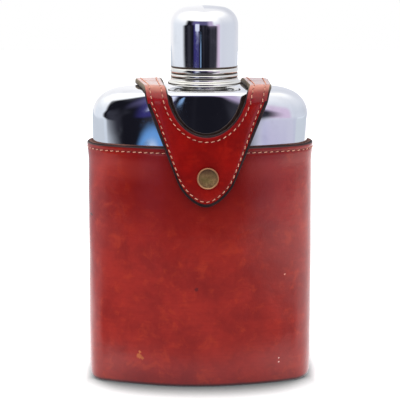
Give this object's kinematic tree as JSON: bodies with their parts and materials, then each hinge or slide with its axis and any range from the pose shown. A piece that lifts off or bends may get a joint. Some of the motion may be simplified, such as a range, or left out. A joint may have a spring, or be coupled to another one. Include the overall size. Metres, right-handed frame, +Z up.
{
  "type": "hip flask",
  "caption": "Oval metal hip flask with a screw cap, in a stitched leather slip case closed by a forked snap strap.",
  "frame": {"origin": "centre of the leather case's underside, on the plane it stands on", "axes": "+Z up out of the neck, the strap's flap and press stud face -Y, +X to the right seen from the front"},
  "size_m": [0.0908, 0.0481, 0.1508],
  "materials": {
    "case_leather": "glazed red-brown hide",
    "lining_hide": "thin unfinished hide",
    "strap_leather": "polished red-brown hide, dark dyed edges",
    "strap_backing": "suede side out",
    "felt": "pressed felt",
    "thread": "waxed linen thread",
    "flask_metal": "bright plate",
    "cap_metal": "bright plate",
    "collar_metal": "bright nickel plate",
    "inner_metal": "plain drawn metal",
    "cork": "cork",
    "washer": "pressed fibre",
    "snap_brass": "antique brass",
    "snap_inner": "plain brass",
    "spring_wire": "drawn wire"
  },
  "bodies": {
    "flask_in_case": {"case_base": "case_leather", "case_wall": "case_leather", "case_lining": "lining_hide", "case_insole": "felt", "rim_stitching": "thread", "back_seam_stitching": "thread", "flask_shell": "flask_metal", "flask_base": "flask_metal", "flask_neck": "inner_metal", "strap_tail": "strap_leather", "strap_tail_backing": "strap_backing", "tail_stitching": "thread", "snap_post": "snap_inner", "snap_stud": "snap_inner"},
    "cork": {"cap_cork_seal": "cork"},
    "washer": {"cap_seal_washer": "washer"},
    "cap": {"cap_dome": "cap_metal", "cap_collar": "collar_metal", "cap_threaded_cup": "inner_metal"},
    "strap_arms": {"strap_arm_left": "strap_leather", "strap_arm_left_backing": "strap_backing", "strap_arm_right": "strap_leather", "strap_arm_right_backing": "strap_backing", "arm_stitching": "thread"},
    "flap": {"strap_flap": "strap_leather", "strap_flap_backing": "strap_backing", "flap_stitching": "thread", "snap_socket": "snap_inner", "snap_spring": "spring_wire", "snap_cap": "snap_brass"}
  },
  "joints": [
    {"name": "cap_lift", "type": "slide", "parent": "flask_in_case", "child": "cork", "axis": [0, 0, 1], "range_m": [0, 0.045]},
    {"name": "cap_rise", "type": "slide", "parent": "cork", "child": "washer", "axis": [0, 0, 1], "range_m": [0, 0.004]},
    {"name": "cap_turn", "type": "hinge", "parent": "washer", "child": "cap", "pos_m": [0.0017, 0, 0.127], "axis": [0, 0, 1], "range_deg": [0, 720]},
    {"name": "strap_swing", "type": "hinge", "parent": "flask_in_case", "child": "strap_arms", "pos_m": [0, 0.0233, 0.12143], "axis": [-1, 0, 0], "range_deg": [0, 170]},
    {"name": "flap_lift", "type": "hinge", "parent": "strap_arms", "child": "flap", "pos_m": [0, -0.0233, 0.12143], "axis": [-1, 0, 0], "range_deg": [0, 100]}
  ],
  "couplings": [
    {"joint": "cap_rise", "follows": "cap_turn", "m_per_rad": 0.00031831}
  ]
}
